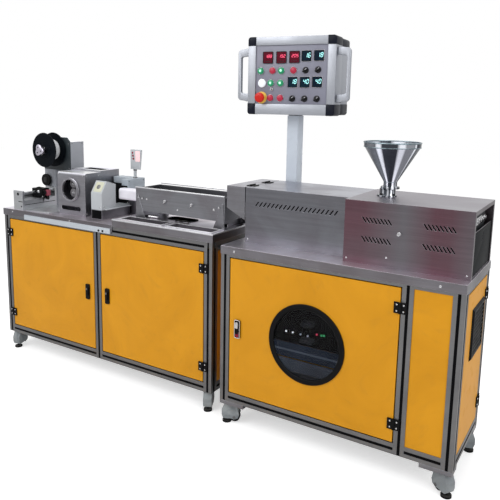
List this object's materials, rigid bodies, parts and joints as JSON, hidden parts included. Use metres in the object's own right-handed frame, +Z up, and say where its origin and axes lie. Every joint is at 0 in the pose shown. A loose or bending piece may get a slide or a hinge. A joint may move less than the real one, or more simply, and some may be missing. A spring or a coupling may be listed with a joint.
{
  "type": "plastic extruder line",
  "caption": "Filament extruder line: hooded screw extruder with hopper and post-mounted control box on one cabinet, trough, gauge, puller and spool winder on another.",
  "frame": {"origin": "on the floor, under the middle of the whole line's box", "axes": "+X along the line towards the drive end, +Y to the back, +Z up"},
  "size_m": [2.624, 0.6214, 1.778],
  "materials": {
    "aluminium_bar": "anodised",
    "black_fitting": "matte",
    "black_spool": "satin",
    "caster_shell": "satin",
    "dark_paint": "satin",
    "filament": "satin",
    "floor_sheet": "satin",
    "grey_paint": "satin",
    "polished_steel": "polished",
    "red_button": "gloss",
    "rubber": "matte",
    "stainless": "brushed",
    "steel_part": "machined",
    "white_plastic": "satin",
    "window_glass": "clear",
    "yellow_panel": "satin"
  },
  "bodies": {
    "base": {"barrel_cover": "stainless", "cabinet_floors": "floor_sheet", "cabinet_link": "steel_part", "caster_bodies": "caster_shell", "control_post": "grey_paint", "cooling_trough": "stainless", "corner_plates": "stainless", "display_box": "grey_paint", "downstream_panels": "yellow_panel", "downstream_posts": "aluminium_bar", "downstream_rails": "aluminium_bar", "drive_cover": "stainless", "entry_block": "white_plastic", "extruder_panels": "yellow_panel", "extruder_posts": "aluminium_bar", "extruder_rails": "aluminium_bar", "extruder_table": "stainless", "fixed_hinges": "black_fitting", "flat_table": "stainless", "front_strip": "aluminium_bar", "gauge_housing": "grey_paint", "gauge_stand": "stainless", "gearbox": "dark_paint", "haul_drive_box": "grey_paint", "hopper": "polished_steel", "leveling_pads": "rubber", "puller_housing": "stainless", "puller_rear_box": "stainless", "screw_barrel": "steel_part", "traverse_rail": "aluminium_bar", "tray_table": "stainless", "winder_housing": "grey_paint"},
    "extruder_door": {"extruder_door": "yellow_panel", "window_rim": "black_fitting", "window_glass": "window_glass", "extruder_door_fittings": "black_fitting"},
    "end_door": {"end_door": "yellow_panel", "end_door_fittings": "black_fitting"},
    "left_door": {"left_door": "yellow_panel", "left_door_fittings": "black_fitting"},
    "right_door": {"right_door": "yellow_panel", "right_door_fittings": "black_fitting"},
    "die_guard": {"die_guard": "stainless", "guard_hinges_moving": "black_fitting"},
    "control_box": {"control_box": "grey_paint", "panel_meters": "black_fitting", "panel_buttons": "black_fitting", "emergency_stop": "red_button", "box_handles": "black_fitting"},
    "spool": {"spool": "black_spool", "wound_filament": "filament", "spool_spindle": "polished_steel"},
    "guide_pulley": {"guide_pulley": "black_fitting"},
    "traverse_carriage": {"traverse_carriage": "black_fitting"},
    "caster_wheel_front_left": {"caster_wheel_front_left": "rubber"},
    "caster_wheel_front_right": {"caster_wheel_front_right": "rubber"},
    "caster_wheel_back_left": {"caster_wheel_back_left": "rubber"},
    "caster_wheel_back_right": {"caster_wheel_back_right": "rubber"}
  },
  "joints": [
    {"name": "extruder_door_hinge", "type": "hinge", "parent": "base", "child": "extruder_door", "pos_m": [1.0685, -0.30424, 0.245], "axis": [0, 0, 1], "range_deg": [0, 110]},
    {"name": "end_door_hinge", "type": "hinge", "parent": "base", "child": "end_door", "pos_m": [1.307, 0.09026, 0.245], "axis": [0, 0, 1], "range_deg": [0, 110]},
    {"name": "left_door_hinge", "type": "hinge", "parent": "base", "child": "left_door", "pos_m": [-1.2605, -0.26024, 0.227], "axis": [0, 0, -1], "range_deg": [0, 110]},
    {"name": "right_door_hinge", "type": "hinge", "parent": "base", "child": "right_door", "pos_m": [0.1225, -0.26024, 0.227], "axis": [0, 0, 1], "range_deg": [0, 110]},
    {"name": "die_guard_hinge", "type": "hinge", "parent": "base", "child": "die_guard", "pos_m": [0.2985, -0.11924, 1.102], "axis": [0, 1, 0], "range_deg": [0, 100]},
    {"name": "control_box_swivel", "type": "hinge", "parent": "base", "child": "control_box", "pos_m": [0.354, 0.17676, 1.415], "axis": [0, 0, 1], "range_deg": [-150, 150]},
    {"name": "spool_spin", "type": "hinge", "parent": "base", "child": "spool", "pos_m": [-1.152, -0.08524, 1.18], "axis": [0, 1, 0], "continuous": true},
    {"name": "guide_pulley_spin", "type": "hinge", "parent": "base", "child": "guide_pulley", "pos_m": [-1.22, -0.00324, 0.995], "axis": [0, 1, 0], "continuous": true},
    {"name": "traverse_slide", "type": "slide", "parent": "base", "child": "traverse_carriage", "axis": [0, 1, 0], "range_m": [-0.035, 0.035]},
    {"name": "caster_wheel_front_left_spin", "type": "hinge", "parent": "base", "child": "caster_wheel_front_left", "pos_m": [0.30516, -0.25245, 0.031], "axis": [0.342, -0.9397, 0], "continuous": true},
    {"name": "caster_wheel_front_right_spin", "type": "hinge", "parent": "base", "child": "caster_wheel_front_right", "pos_m": [1.24853, -0.24921, 0.031], "axis": [0.5736, 0.8192, 0], "continuous": true},
    {"name": "caster_wheel_back_left_spin", "type": "hinge", "parent": "base", "child": "caster_wheel_back_left", "pos_m": [0.30412, 0.08876, 0.031], "axis": [-0.5, -0.866, 0], "continuous": true},
    {"name": "caster_wheel_back_right_spin", "type": "hinge", "parent": "base", "child": "caster_wheel_back_right", "pos_m": [1.24684, 0.09097, 0.031], "axis": [-0.342, 0.9397, 0], "continuous": true}
  ]
}
